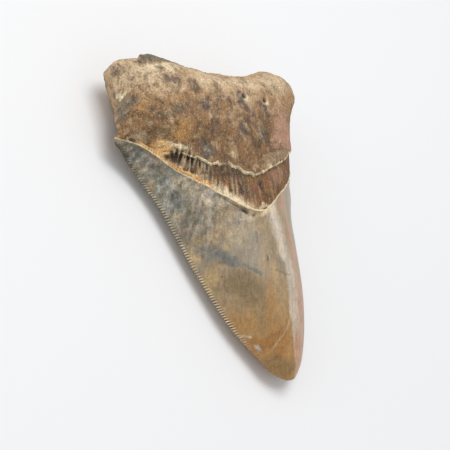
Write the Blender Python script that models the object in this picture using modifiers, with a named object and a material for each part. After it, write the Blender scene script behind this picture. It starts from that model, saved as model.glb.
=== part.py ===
"""A megalodon tooth at its real size, 110 mm long from its tip to its root.

It lies on its labial (outer) face, with the lingual (inner) face up, the tip
towards -Y and the root towards +Y. The whole tooth grew as one piece, so it is
one object: a cage lofted between unlike cross sections, smoothed by Subdivision
Surface. "Reach" below is the distance from the tip, measured along the tooth,
and "across" is the place between the middle (0) and the left or right edge
(-1 or 1). Lengths are millimetres until the mesh is made.
"""

import bpy
import numpy as np

COLLECTION = "megalodon_tooth"
NODE = "tooth"
MM = 0.001

# Where the tip stands, so that the origin is under the middle of the box.
TIP_X = 0.8
TIP_Y = -55.1

# (reach, half width) of the plan outline on each side of the tooth's long axis.
LEFT_HALF_WIDTH = [
    (0, 5.8), (4, 8.0), (10, 11.5), (20, 17.7), (32, 22.5), (44, 26.3), (56, 29.6), (68, 34.0),
    (77, 39.4), (84, 44.9), (90, 43.0), (96, 42.0), (102, 43.2), (108, 46.8),
]
RIGHT_HALF_WIDTH = [
    (0, 4.6), (4, 7.4), (10, 12.0), (20, 17.6), (32, 22.3), (44, 25.9), (56, 29.4), (66, 34.0),
    (75, 35.6), (82, 33.6), (89, 35.8), (96, 41.0), (102, 44.4), (108, 44.4),
]
TIP_ROUNDING = 6.5  # reach over which the blunt tip is a half ellipse

# (reach, height above the surface that the tooth lies on).
RIDGE_HEIGHT = [
    (0, 7.6), (4, 9.1), (10, 11.3), (20, 14.8), (32, 17.4), (44, 18.4), (56, 19.5),
    (66, 20.7), (76, 21.5), (86, 24.4), (96, 25.7), (107, 25.7),
]
EDGE_HEIGHT = [
    (0, 5.5), (10, 4.6), (30, 4.0), (60, 4.0), (76, 4.6), (84, 8.0),
    (94, 10.0), (107, 10.6),
]
FLOOR_HEIGHT = [  # of the labial face; what would be below 0 is worn flat there
    (0, 3.6), (10, 1.4), (22, 0.0), (32, -0.9), (58, -0.9), (68, 0.1),
    (78, 1.2), (86, -0.4), (95, -2.2), (107, -1.6),
]
LABIAL_VALLEY = 3.2  # how much shallower the root's labial face is between its lobes
LINGUAL_VALLEY = 2.6  # how much lower the lingual face is at the notch between the lobes

# (across, reach) of the lines that cross the tooth.
ENAMEL_MARGIN = [  # lingual end of the enamel, a deep chevron
    (-1, 84.8), (-0.86, 77.9), (-0.58, 62.9), (-0.36, 56.8), (-0.15, 54.0), (0, 53.9),
    (0.15, 56.0), (0.3, 57.9), (0.48, 60.8), (0.68, 65.6), (0.9, 72.0), (1, 75.7),
]
ROOT_MARGIN = [  # lingual end of the root, above the bourlette
    (-1, 85.6), (-0.86, 79.6), (-0.66, 74.3), (-0.46, 70.6), (-0.28, 69.9), (-0.15, 67.0),
    (0, 66.0), (0.16, 67.5), (0.32, 69.5), (0.56, 73.0), (0.78, 77.1), (1, 79.8),
]
LABIAL_ENAMEL_MARGIN = [
    (-1, 84.8), (-0.8, 79.8), (-0.4, 74.2), (0, 72.0), (0.4, 72.4), (0.8, 73.8), (1, 75.7),
]
LABIAL_ROOT_MARGIN = [
    (-1, 85.6), (-0.8, 81.1), (-0.4, 75.6), (0, 73.4), (0.4, 73.9), (0.8, 76.4), (1, 79.8),
]
ROOT_TOP = [  # two lobes with a shallow notch between them
    (-1, 99.4), (-0.95, 104.7), (-0.85, 109.0), (-0.6, 110.4), (-0.3, 107.7), (0, 106.6),
    (0.3, 106.2), (0.6, 108.8), (0.85, 106.3), (0.95, 103.6), (1, 99.6),
]

BOURLETTE_DEPTH = 0.8  # how far the band between enamel and root lies below both
TOP_ROUNDING = 11.0  # reach over which the root curves over into its top edge
CROWN_LINGUAL_POWERS = (2.0, 1.0)  # section height is (1 - |across|^a)^b of the ridge's
ROOT_LINGUAL_POWERS = (2.5, 0.48)
CROWN_LABIAL_POWERS = (2.6, 1.0)
ROOT_LABIAL_POWERS = (3.4, 0.5)
ROOT_BLEND = (-6.0, 9.0)  # reach above the enamel over which crown sections turn into root sections

# The cage's rows, as shares of each stretch of the tooth, and its columns.
CROWN_ROWS = (
    0.003, 0.012, 0.03, 0.06, 0.11, 0.18, 0.27, 0.37, 0.48, 0.59, 0.7, 0.81, 0.9, 0.97, 1.0,
)
BOURLETTE_ROWS = (0.14, 0.5, 0.86, 1.0)
ROOT_ROWS = (0.08, 0.2, 0.34, 0.48, 0.61, 0.73, 0.83, 0.91, 0.965, 1.0)
COLUMNS = 20
EDGE_CROWDING = 0.55  # 0 spaces the columns evenly, 1 crowds them to the edges
SUBDIVISIONS = 1

ENAMEL_SLOT, ROOT_SLOT = 0, 1
ENAMEL_COLOUR, ENAMEL_ROUGHNESS = (0.30, 0.27, 0.20, 1.0), 0.35
ROOT_COLOUR, ROOT_ROUGHNESS = (0.32, 0.23, 0.13, 1.0), 0.75


def curve(knots):
    """A smooth function through (place, value) knots, held level beyond both ends."""
    places, values = np.array(knots, float).T
    slopes = np.gradient(values, places)

    def at(place):
        place = np.clip(np.asarray(place, float), places[0], places[-1])
        i = np.clip(np.searchsorted(places, place) - 1, 0, len(places) - 2)
        span = places[i + 1] - places[i]
        t = (place - places[i]) / span
        rise = t * t * (3 - 2 * t)
        leave = t * (1 - t) ** 2
        arrive = t * t * (t - 1)
        return (
            values[i] * (1 - rise) + values[i + 1] * rise
            + span * (slopes[i] * leave + slopes[i + 1] * arrive)
        )

    return at


def smooth_step(start, end, value):
    t = np.clip((value - start) / (end - start), 0, 1)
    return t * t * (3 - 2 * t)


def quarter_round(depth, rounding):
    """0 at an end and 1 from the rounding's depth inwards, along a quarter ellipse."""
    t = np.clip(depth / rounding, 0, 1)
    return np.sqrt(1 - (1 - t) ** 2)


def across_columns():
    even = np.linspace(-1, 1, COLUMNS + 1)
    return (1 - EDGE_CROWDING) * even + EDGE_CROWDING * np.sin(even * np.pi / 2)


def row_reaches(across, enamel_margin, root_margin):
    """The reach of every cage point: one line of points for each row of the cage."""
    enamel, root, top = (curve(k)(across) for k in (enamel_margin, root_margin, ROOT_TOP))
    rows = [enamel * share for share in CROWN_ROWS]
    rows += [enamel + (root - enamel) * share for share in BOURLETTE_ROWS]
    rows += [root + (top - root) * share for share in ROOT_ROWS]
    return np.array(rows)


def half_width(across, reach):
    sides = np.where(across < 0, curve(LEFT_HALF_WIDTH)(reach), curve(RIGHT_HALF_WIDTH)(reach))
    return sides * quarter_round(reach, TIP_ROUNDING)


def section(across, reach, margin, crown_powers, root_powers):
    """How full the cross section is, from 1 in the middle to 0 at the edge."""
    root = smooth_step(*ROOT_BLEND, reach - curve(margin)(across))
    a, b = (c + (r - c) * root for c, r in zip(crown_powers, root_powers))
    return (1 - np.minimum(np.abs(across), 1) ** a) ** b


def lingual_height(across, reach, top):
    edge, ridge = curve(EDGE_HEIGHT)(reach), curve(RIDGE_HEIGHT)(reach)
    valley = LINGUAL_VALLEY * np.exp(-((across / 0.3) ** 2)) * smooth_step(92, 106, reach)
    rise = (ridge - valley - edge) * quarter_round(reach, TIP_ROUNDING)
    full = section(across, reach, ENAMEL_MARGIN, CROWN_LINGUAL_POWERS, ROOT_LINGUAL_POWERS)
    return edge + rise * full * quarter_round(top - reach, TOP_ROUNDING)


def labial_height(across, reach, top):
    edge, floor = curve(EDGE_HEIGHT)(reach), curve(FLOOR_HEIGHT)(reach)
    valley = LABIAL_VALLEY * np.exp(-((across / 0.35) ** 2)) * smooth_step(80, 96, reach)
    drop = (edge - floor - valley) * quarter_round(reach, TIP_ROUNDING)
    full = section(
        across, reach, LABIAL_ENAMEL_MARGIN, CROWN_LABIAL_POWERS, ROOT_LABIAL_POWERS
    )
    return np.maximum(edge - drop * full * quarter_round(top - reach, TOP_ROUNDING), 0)


def bourlette_groove(across):
    """How far each row of the lingual cage is sunk, which fades out at the edges."""
    sunk = np.zeros((len(CROWN_ROWS) + len(BOURLETTE_ROWS) + len(ROOT_ROWS), 1))
    first = len(CROWN_ROWS)
    sunk[first : first + len(BOURLETTE_ROWS) - 1] = BOURLETTE_DEPTH
    return sunk * (1 - np.abs(across) ** 6)


def sheet(enamel_margin, root_margin, height):
    """One face of the tooth as a grid of points, rows from the tip to the root's top."""
    across = across_columns()
    reach = row_reaches(across, enamel_margin, root_margin)
    across = np.broadcast_to(across, reach.shape)
    top = np.broadcast_to(reach[-1], reach.shape)
    x = across * half_width(across, reach)
    return np.stack([x, reach, height(across, reach, top)], -1), across


def tooth_cage():
    """Points, faces, the faces' material slots and the sharp edges of the cage."""
    lingual, across = sheet(ENAMEL_MARGIN, ROOT_MARGIN, lingual_height)
    lingual[..., 2] -= bourlette_groove(across)
    labial, _ = sheet(LABIAL_ENAMEL_MARGIN, LABIAL_ROOT_MARGIN, labial_height)
    rows = len(lingual)
    tip = np.array([[0.0, 0.0, curve(EDGE_HEIGHT)(0)]])
    points = np.concatenate([tip, lingual.reshape(-1, 3), labial[:-1, 1:-1].reshape(-1, 3)])

    def on_lingual(row, column):
        return 1 + row * (COLUMNS + 1) + column

    def on_labial(row, column):
        if column in (0, COLUMNS) or row == rows - 1:  # both faces share their border
            return on_lingual(row, column)
        return 1 + rows * (COLUMNS + 1) + row * (COLUMNS - 1) + column - 1

    faces, slots = [], []
    for column in range(COLUMNS):
        faces.append((0, on_lingual(0, column + 1), on_lingual(0, column)))
        faces.append((0, on_labial(0, column), on_labial(0, column + 1)))
        slots += [ENAMEL_SLOT, ENAMEL_SLOT]
        for row in range(rows - 1):
            left, right = column, column + 1
            faces.append((
                on_lingual(row, left), on_lingual(row, right),
                on_lingual(row + 1, right), on_lingual(row + 1, left),
            ))
            faces.append((
                on_labial(row, right), on_labial(row, left),
                on_labial(row + 1, left), on_labial(row + 1, right),
            ))
            slots += [ENAMEL_SLOT if row < len(CROWN_ROWS) - 1 else ROOT_SLOT] * 2
    sharp = set()
    for column in (0, COLUMNS):
        line = [on_lingual(row, column) for row in range(len(CROWN_ROWS))]
        sharp |= {frozenset(pair) for pair in zip(line, line[1:])}
    return points, faces, slots, sharp


def material(name, colour, roughness):
    made = bpy.data.materials.new(name)
    made.use_nodes = True
    shader = made.node_tree.nodes["Principled BSDF"]
    shader.inputs["Base Color"].default_value = colour
    shader.inputs["Roughness"].default_value = roughness
    shader.inputs["Metallic"].default_value = 0.0
    return made


def make_tooth(collection):
    points, faces, slots, sharp = tooth_cage()
    mesh = bpy.data.meshes.new(NODE)
    placed = (points + np.array([TIP_X, TIP_Y, 0.0])) * MM
    mesh.from_pydata(placed.tolist(), [], faces)
    mesh.materials.append(material("enamel", ENAMEL_COLOUR, ENAMEL_ROUGHNESS))
    mesh.materials.append(material("root", ROOT_COLOUR, ROOT_ROUGHNESS))
    mesh.polygons.foreach_set("material_index", slots)
    creases = mesh.attributes.new("crease_edge", "FLOAT", "EDGE")
    creases.data.foreach_set(
        "value", [float(frozenset(edge.vertices) in sharp) for edge in mesh.edges]
    )
    mesh.shade_smooth()
    tooth = bpy.data.objects.new(NODE, mesh)
    collection.objects.link(tooth)
    smoothing = tooth.modifiers.new("smooth", "SUBSURF")
    smoothing.levels = SUBDIVISIONS
    smoothing.render_levels = SUBDIVISIONS
    return tooth


def main():
    for old in list(bpy.data.objects):
        bpy.data.objects.remove(old)
    collection = bpy.data.collections.new(COLLECTION)
    bpy.context.scene.collection.children.link(collection)
    make_tooth(collection)


main()
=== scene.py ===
"""The looks of a megalodon tooth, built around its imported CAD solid.

The tooth grew as one piece, so one finely meshed piece replaces the faceted solid.
It follows the same curves, and adds what the solid leaves out: the serrated edges,
the lip of the root over the bourlette, pits, pores, nutrient holes, cracks and
chips. Lengths are millimetres in the tooth's own coordinates until the mesh is
made: x across the tooth, "reach" from the tip towards the root, and z up from the
surface it lies on. "Across" runs from -1 at the left edge to 1 at the right one.
"""

import bpy
import numpy as np
from mathutils import Matrix, Vector


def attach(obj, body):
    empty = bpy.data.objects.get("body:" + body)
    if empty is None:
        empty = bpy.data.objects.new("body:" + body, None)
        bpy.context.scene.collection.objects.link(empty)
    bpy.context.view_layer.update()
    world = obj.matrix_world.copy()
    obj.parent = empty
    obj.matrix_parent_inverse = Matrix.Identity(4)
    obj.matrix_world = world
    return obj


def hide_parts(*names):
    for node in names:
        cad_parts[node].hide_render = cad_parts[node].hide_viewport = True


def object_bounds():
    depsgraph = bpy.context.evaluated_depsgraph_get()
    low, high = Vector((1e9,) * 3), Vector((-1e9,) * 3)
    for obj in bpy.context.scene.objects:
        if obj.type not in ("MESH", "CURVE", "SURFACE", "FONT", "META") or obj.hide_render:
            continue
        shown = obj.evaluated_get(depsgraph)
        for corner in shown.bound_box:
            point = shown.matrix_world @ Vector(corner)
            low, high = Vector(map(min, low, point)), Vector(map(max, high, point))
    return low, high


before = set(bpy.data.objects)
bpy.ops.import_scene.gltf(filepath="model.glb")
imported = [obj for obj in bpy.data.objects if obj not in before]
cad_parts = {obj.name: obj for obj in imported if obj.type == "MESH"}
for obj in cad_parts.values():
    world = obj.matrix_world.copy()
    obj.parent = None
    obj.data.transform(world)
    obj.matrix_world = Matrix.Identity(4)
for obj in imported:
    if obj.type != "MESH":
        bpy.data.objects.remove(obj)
CAD_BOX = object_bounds()

MM = 0.001
TIP_X, TIP_Y = 0.8, -55.1  # where the tip stands in the row's frame
LINGUAL, LABIAL = 1, -1  # the bulging face that is up, and the flatter one that is down

# ---------------------------------------------------------------- shape, as in CAD

# (reach, half width) of the outline seen from above.
LEFT_HALF_WIDTH = [
    (0, 5.8), (4, 8), (10, 11.5), (20, 17.7), (32, 22.5), (44, 26.3), (56, 29.6), (68, 34),
    (77, 39.4), (81, 42.6), (83.6, 44.6), (85.8, 43.2), (90, 42.9), (96, 42), (102, 43.2),
    (108, 46.8),
]
RIGHT_HALF_WIDTH = [
    (0, 4.6), (4, 7.4), (10, 12), (20, 17.6), (32, 22.3), (44, 25.9), (56, 29.4), (66, 34),
    (75, 35.6), (82, 33.6), (89, 35.8), (96, 41), (102, 44.4), (108, 44.4),
]
TIP_ROUNDING = 6.5

# (reach, height).
RIDGE_HEIGHT = [
    (0, 7.6), (4, 9.1), (10, 11.3), (20, 14.8), (32, 17.4), (44, 18.4), (56, 19.5),
    (66, 20.7), (76, 21.5), (86, 24.4), (96, 25.7), (107, 25.7),
]
EDGE_HEIGHT = [
    (0, 5.5), (10, 4.6), (30, 4), (60, 4), (76, 4.6), (84, 8), (94, 10), (107, 10.6),
]
FLOOR_HEIGHT = [
    (0, 3.6), (10, 1.4), (22, 0), (32, -0.9), (58, -0.9), (68, 0.1),
    (78, 1.2), (86, -0.4), (95, -2.2), (107, -1.6),
]
VALLEYS = {  # depth, half width across, and reach over which the valley between the lobes starts
    LINGUAL: (2.6, 0.3, (92, 106)),
    LABIAL: (3.2, 0.35, (80, 96)),
}
TOP_ROUNDING = 11.0
LYING_FLAT = 0.25  # how gently the lowest spots are pressed flat, in mm
BOX_EASE = 0.6  # mm from the CAD solid's box over which points are eased back inside it
LATTICE = 32  # cells after which the noise repeats

# (across, reach). The lingual margins carry jogs that the faceted solid smooths over.
ENAMEL_MARGIN = [
    (-1, 84.4), (-0.96, 83), (-0.86, 78.4), (-0.75, 70.2), (-0.6, 64), (-0.48, 60.2), (-0.36, 56.8),
    (-0.2, 54.5), (-0.05, 53.6), (0.08, 55.1), (0.3, 59), (0.48, 62.6), (0.68, 67.6),
    (0.9, 73.4), (1, 76.4),
]
ROOT_MARGIN = [
    (-1, 85.2), (-0.96, 84.2), (-0.86, 79.4), (-0.8, 76.6), (-0.74, 75.6), (-0.67, 74), (-0.6, 72.7),
    (-0.54, 71.2), (-0.49, 70.6), (-0.38, 70.3), (-0.3, 69.9), (-0.23, 68.7), (-0.15, 67),
    (-0.03, 66.1), (0.08, 66.5), (0.19, 68), (0.3, 69.2), (0.47, 71.4), (0.62, 74.4),
    (0.8, 77.3), (1, 79.8),
]
LABIAL_ENAMEL_MARGIN = [
    (-1, 84.4), (-0.8, 79.8), (-0.4, 74.2), (0, 72), (0.4, 72.4), (0.8, 73.8), (1, 76.4),
]
LABIAL_ROOT_MARGIN = [
    (-1, 85.2), (-0.8, 81.1), (-0.4, 75.6), (0, 73.4), (0.4, 73.9), (0.8, 76.4), (1, 79.8),
]
ROOT_TOP = [
    (-1, 99.4), (-0.95, 104.7), (-0.85, 109), (-0.6, 110.4), (-0.3, 107.7), (0, 106.6),
    (0.3, 106.2), (0.6, 108.8), (0.85, 106.3), (0.95, 103.6), (1, 99.6),
]
MARGINS = {
    LINGUAL: (ENAMEL_MARGIN, ROOT_MARGIN, 0.36),  # the last is how ragged they are, in mm
    LABIAL: (LABIAL_ENAMEL_MARGIN, LABIAL_ROOT_MARGIN, 0.2),
}

# A section's height is (1 - |across|^a)^b of the ridge's: (a, b) on the crown and the root.
SECTION_POWERS = {
    LINGUAL: ((2.0, 1.0), (2.5, 0.48)),
    LABIAL: ((2.6, 1.0), (3.4, 0.5)),
}
ROOT_BLEND = (-6.0, 9.0)  # reach above the enamel over which one turns into the other

# ---------------------------------------------------------------- the fine mesh

CROWN_ROWS, BOURLETTE_ROWS, ROOT_ROWS = 130, 38, 108
ROOT_COLUMNS = 280  # of the lingual face
CROWN_SHARE = 2  # root columns to each crown column
LABIAL_SHARE = 4  # lingual root columns to each labial column
EDGE_CROWDING = 0.5
PIT_CROWDING = (1.6, -0.75, 0.07)  # extra columns at the bourlette's pits: share, across, width
DENSITY_STEPS = 4000  # over which the columns' density is summed
RIM_DEPTHS = (0.35, 0.75, 1.15, 1.7)  # mm, square to the cutting edge, to the rim's lines
RIM_EVEN_ABOVE = (76.0, 83.0)  # reach over which those lines stop allowing for its slope
RIM_SPLIT = 5  # rim rows to each crown row, so that the serrations have shape

# ---------------------------------------------------------------- relief, in mm

SERRATION_PITCH = 0.93
SERRATION_DEPTH = 0.5
SERRATION_LENGTH = 0.95  # how far their grooves run onto the faces
SERRATION_WORN = (9.0, 21.0)  # reach over which the serrations start
BOURLETTE_DEPTH = 1.0
SHOULDER_REACH, SHOULDER_DROOP = 83.2, 0.5  # of the enamel's left corner
ROOT_SIDE_WORN = 2.0
FIBRE_LEAN = 0.2  # mm towards the right for each mm that a fibre runs towards the root
STREAK_LEAN = 0.55  # the same for the dark streaks of the crown's left half
BOURLETTE_ENDS = (-0.78, -0.66, 0.9, 1.0)  # across, where it fades in and out

# (x, reach, radius, depth)
NUTRIENT_HOLES = [(1.9, 92.5, 0.8, 1.9), (12.3, 91.5, 0.7, 1.5)]
ENAMEL_CHIPS = [
    (-9.2, 54.5, 0.9, 0.4), (-8.3, 53.7, 0.7, 0.4), (-5.8, 52.3, 0.5, 0.35),
    (-10.6, 11.3, 0.8, 0.25), (-12.3, 14, 0.6, 0.15),
]
CHIP_DARK_ABOVE = 40.0  # reach: chips near the tip are fresh, the others full of dirt

# (x, reach, half width, half length, turn in degrees, depth) of pits at the bourlette's left end
BOURLETTE_CELLS = [
    (-30.1, 75, 0.42, 1.2, -42, 1), (-29.2, 74.7, 0.45, 1.6, -24, 1.2),
    (-28.2, 74.4, 0.46, 1.9, -8, 1.3), (-27.1, 73.9, 0.46, 1.9, 6, 1.2),
    (-24.9, 73.3, 0.5, 1.7, 11, 1), (-23.6, 72.3, 0.45, 1.6, 11, 0.9),
    (-21.4, 70.9, 0.35, 1.5, 11, 0.6), (-19.2, 69.6, 0.3, 1.2, 11, 0.4),
]
PORES, PORE_SEED = 640, 7
PORE_RADII = (0.18, 0.42)
PORE_DEPTHS = (0.1, 0.3)

# A thin flake stands on the crest: x of its broken end, its other end, its reach and height.
FLAKE = (-34.2, -21.0, 106.3, 19.8)
FLAKE_RISE = 1.9
CREST_SHADE = (104.6, 105.5)  # reach over which the crest behind it turns grey, as painted shade along the root's top rim
CREST_HEIGHT = (16.5, 18.5)  # height over which it does
CREST_SHADE_END = (-4, 4)  # x over which the painted shade fades out

# x, reach, half length, half width and turn of a thin flap that lies over the root's lip.
FLAP = (12.8, 72.7, 9.4, 1.9, -13)

# ((x, reach) points, half width, depth, darkness) of cracks in the lingual face.
CRACKS = [
    ([(-16.4, 60.6), (-12.6, 57), (-10.2, 55.2), (-8, 53.4)], 0.22, 0.28, 0.9),
    ([(-3.4, 16.4), (-4.3, 15.2), (-6.8, 13.5), (-6.5, 12.1), (-7.6, 10.6)], 0.15, 0.1, 0.6),
    ([(-25.6, 48.9), (-21.3, 44.6), (-18.6, 42.4), (-15.8, 39.6)], 0.35, 0.04, 0.3),
    ([(-20.9, 45.4), (-19.2, 50.2), (-17.6, 53)], 0.2, 0.08, 0.6),
    ([(-14.4, 40.2), (-12, 36.4), (-8.9, 33.4)], 0.35, 0.05, 0.4),
    ([(-6.2, 47.4), (-6.7, 45.6), (-7.1, 43.6)], 0.2, 0.08, 0.7),
    ([(-4.6, 39.4), (-4.9, 37.8), (-5.4, 36.6)], 0.2, 0.08, 0.7),
    ([(-19, 36), (-18.4, 31), (-19, 27)], 0.2, 0.05, 0.6),
    ([(-41, 96.7), (-40, 95.2), (-37.9, 95.2), (-37.1, 95.5), (-34.9, 93.7)], 0.3, 0.3, 0.5),
    ([(9.5, 99.7), (10.2, 98.5), (13.4, 97.7), (16.1, 97.2), (21, 98.8)], 0.4, 0.35, 0.5),
    ([(-36.3, 93.6), (-34.1, 92.1), (-31.6, 89.9), (-26.8, 88.7), (-24.6, 87.5)], 0.35, 0.35, 0.5),
    ([(-15.5, 38.6), (-18.1, 37), (-19.9, 34.4), (-21, 29.8)], 0.25, 0.05, 0.5),
    ([(-4.7, 39.4), (-5.2, 34.3), (-0.3, 32.4), (7, 31)], 0.2, 0.05, 0.45),
]
# ((x, reach) points, half width, paleness) of scratches in the enamel.
SCRATCHES = [
    ([(-15.6, 16.8), (-14.2, 16.5), (-12.8, 15.7)], 0.18, 0.45),
    ([(0.9, 20.6), (-2.7, 14.7), (-7.4, 10.2)], 0.25, 0.25),
]


def curve(knots):
    """A smooth function through (place, value) knots, held level beyond both ends."""
    places, values = np.array(knots, float).T
    slopes = np.gradient(values, places)

    def at(place):
        place = np.clip(np.asarray(place, float), places[0], places[-1])
        i = np.clip(np.searchsorted(places, place) - 1, 0, len(places) - 2)
        span = places[i + 1] - places[i]
        t = (place - places[i]) / span
        rise = t * t * (3 - 2 * t)
        leave = t * (1 - t) ** 2
        arrive = t * t * (t - 1)
        return (
            values[i] * (1 - rise) + values[i + 1] * rise
            + span * (slopes[i] * leave + slopes[i + 1] * arrive)
        )

    return at


def smooth_step(start, end, value):
    t = np.clip((value - start) / (end - start), 0, 1)
    return t * t * (3 - 2 * t)


def plateau(start, whole, fading, end, value):
    """1 from `whole` to `fading`, and 0 before `start` and after `end`."""
    return smooth_step(start, whole, value) * (1 - smooth_step(fading, end, value))


def quarter_round(depth, rounding):
    """0 at an end and 1 from the rounding's depth inwards, along a quarter ellipse."""
    t = np.clip(depth / rounding, 0, 1)
    return np.sqrt(1 - (1 - t) ** 2)


def lattice_noise(points, size, seed):
    """Smooth noise from -1 to 1, in lumps of `size` mm, which may differ by axis."""
    table = np.random.default_rng(seed).uniform(-1, 1, (LATTICE, LATTICE, LATTICE))
    place = points / np.asarray(size, float)
    cell = np.floor(place).astype(int)
    t = place - cell
    t = t * t * (3 - 2 * t)
    total = np.zeros(points.shape[:-1])
    for corner in np.ndindex(2, 2, 2):
        weight = np.prod(np.where(corner, t, 1 - t), axis=-1)
        i, j, k = np.moveaxis((cell + corner) % LATTICE, -1, 0)
        total += weight * table[i, j, k]
    return total


def fractal(points, size, octaves, seed):
    """Noise with finer, fainter noise on it: each octave is half as large and as strong."""
    size = np.asarray(size, float)
    layers = [lattice_noise(points, size / 2**n, seed + n) / 2**n for n in range(octaves)]
    return sum(layers)


# ---------------------------------------------------------------- the smooth surface


def half_width(across, reach):
    sides = np.where(across < 0, curve(LEFT_HALF_WIDTH)(reach), curve(RIGHT_HALF_WIDTH)(reach))
    return sides * quarter_round(reach, TIP_ROUNDING)


def margin_reaches(side, across):
    """The reach of the enamel's end, the root's end and the root's top."""
    enamel_margin, root_margin, ragged = MARGINS[side]
    place = np.stack([across * 40, 0 * across, 0 * across], -1)
    inner = 1 - across**8
    enamel = curve(enamel_margin)(across) + 0.5 * ragged * inner * fractal(place, 2.2, 3, 11)
    root = curve(root_margin)(across) + ragged * inner * fractal(place, 1.5, 3, 12)
    return enamel, np.maximum(root, enamel + 0.3), curve(ROOT_TOP)(across)


def reach_at(side, across, station):
    """Stations count the stretches from the tip: 1 at the enamel's end, 2 and 3 at the root's."""
    enamel, root, top = margin_reaches(side, across)
    crown = enamel * np.minimum(station, 1)
    bourlette = (root - enamel) * np.clip(station - 1, 0, 1)
    return crown + bourlette + (top - root) * np.clip(station - 2, 0, 1)


def section(side, across, reach):
    """How full the cross section is, from 1 in the middle to 0 at the edge."""
    root = smooth_step(*ROOT_BLEND, reach - curve(MARGINS[side][0])(across))
    crown_powers, root_powers = SECTION_POWERS[side]
    a, b = (c + (r - c) * root for c, r in zip(crown_powers, root_powers))
    return (1 - np.minimum(np.abs(across), 1) ** a) ** b


def heights(side, across, reach):
    """The edge's height, and how far the face rises from it before it nears the rims."""
    edge = curve(EDGE_HEIGHT)(reach)
    face = curve(RIDGE_HEIGHT if side == LINGUAL else FLOOR_HEIGHT)(reach)
    depth, half, starts = VALLEYS[side]
    valley = depth * np.exp(-((across / half) ** 2)) * smooth_step(*starts, reach)
    return edge, face - side * valley - edge


def smooth_surface(side, across, reach):
    """Points of one face, and where they go on the face's flat map."""
    edge, rise = heights(side, across, reach)
    rise = rise * quarter_round(reach, TIP_ROUNDING)
    top = curve(ROOT_TOP)(across)
    full, over = section(side, across, reach), quarter_round(top - reach, TOP_ROUNDING)
    x = across * half_width(across, reach)
    points = np.stack([x, reach, edge + rise * full * over], -1)
    flank = np.sign(across) * np.abs(rise) * (1 - full)
    flat = np.stack([x + flank, reach + np.abs(rise) * full * (1 - over)], -1)
    return points, flat


# ---------------------------------------------------------------- the net of points


def even_rows(count, spacing):
    """Shares from 0 to 1 whose steps follow (place, relative size) knots of `spacing`."""
    places, sizes = np.array(spacing, float).T
    steps = np.interp(np.linspace(0, 1, count), places, sizes)
    return np.concatenate([[0], np.cumsum(steps) / steps.sum()])


def crown_stations():
    return even_rows(CROWN_ROWS, [(0, 0.06), (0.1, 1), (0.93, 1), (1, 0.35)])[1:]


def upper_stations():
    """From the enamel's end to the root's top, crowded at both lips and at the top."""
    bourlette = 1 + even_rows(BOURLETTE_ROWS, [(0, 0.35), (0.25, 1), (0.75, 1), (1, 0.3)])
    root = 2 + even_rows(ROOT_ROWS, [(0, 0.35), (0.08, 1), (0.55, 1), (0.9, 0.3), (1, 0.04)])
    return np.concatenate([bourlette, root[1:]])


def base_columns(count):
    """Places across, crowded towards both edges and at the bourlette's pits."""
    even = np.linspace(-1, 1, DENSITY_STEPS + 1)
    across = (1 - EDGE_CROWDING) * even + EDGE_CROWDING * np.sin(even * np.pi / 2)
    share, place, width = PIT_CROWDING
    density = np.gradient(even, across) + share * np.exp(-(((across - place) / width) ** 2))
    steps = np.diff(across) * (density[1:] + density[:-1]) / 2
    total = np.concatenate([[0], np.cumsum(steps)])
    return np.interp(np.linspace(0, total[-1], count + 1), total, across)


def rim_scale(across, reach):
    """What 1 - |across| is multiplied by to give mm square to the cutting edge."""
    slope = (half_width(across, reach + 0.2) - half_width(across, np.maximum(reach - 0.2, 0))) / 0.4
    slope = np.clip(slope, -1, 1) * (1 - smooth_step(*RIM_EVEN_ABOVE, reach))
    return (half_width(across, reach) + 2) / np.hypot(1, slope)


def near_rim(side, depth, sign, station):
    """Across, at `depth` mm inside the left (-1) or right (1) edge."""
    rim = np.full(station.shape, float(sign))
    return sign * (1 - depth / rim_scale(rim, reach_at(side, rim, station)))


class Net:
    """Points given by face, across and station, and the faces between them."""

    def __init__(self):
        self.side, self.across, self.station = [], [], []
        self.faces, self.face_side, self.face_is_enamel = [], [], []

    def grid(self, side, across, station):
        """Adds points in rows and columns, and gives back their numbers."""
        across, station = np.broadcast_arrays(across, station)
        first = sum(len(a) for a in self.across)
        self.side.append(np.full(across.size, side))
        self.across.append(across.ravel())
        self.station.append(station.ravel())
        return first + np.arange(across.size).reshape(across.shape)

    def fill(self, side, enamel, numbers):
        """Quads over a grid of point numbers, rows from the tip, columns from the left."""
        low, high = numbers[:-1], numbers[1:]
        quads = np.stack([low[:, :-1], low[:, 1:], high[:, 1:], high[:, :-1]], -1)
        self.add(side, enamel, quads.reshape(-1, 4).tolist())

    def seam(self, side, enamel, coarse, fine, flip=False):
        """Joins a line of points to a line with several points for each of its own."""
        split = (len(fine) - 1) // (len(coarse) - 1)
        made = []
        for i in range(len(coarse) - 1):
            stretch = fine[i * split : (i + 1) * split + 1]
            made.append([coarse[i], coarse[i + 1], *reversed(stretch)])
        self.add(side, enamel, [face[::-1] for face in made] if flip else made)

    def add(self, side, enamel, faces):
        if side == LABIAL:
            faces = [face[::-1] for face in faces]
        self.faces += faces
        self.face_side += [side] * len(faces)
        self.face_is_enamel += [enamel] * len(faces)

    def arrays(self):
        return tuple(np.concatenate(a) for a in (self.side, self.across, self.station))


def split_rows(stations):
    """The rim's finer stations: RIM_SPLIT steps for each step of the crown's."""
    places = np.arange((len(stations) - 1) * RIM_SPLIT + 1) / RIM_SPLIT
    return np.interp(places, np.arange(len(stations)), stations)


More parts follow.
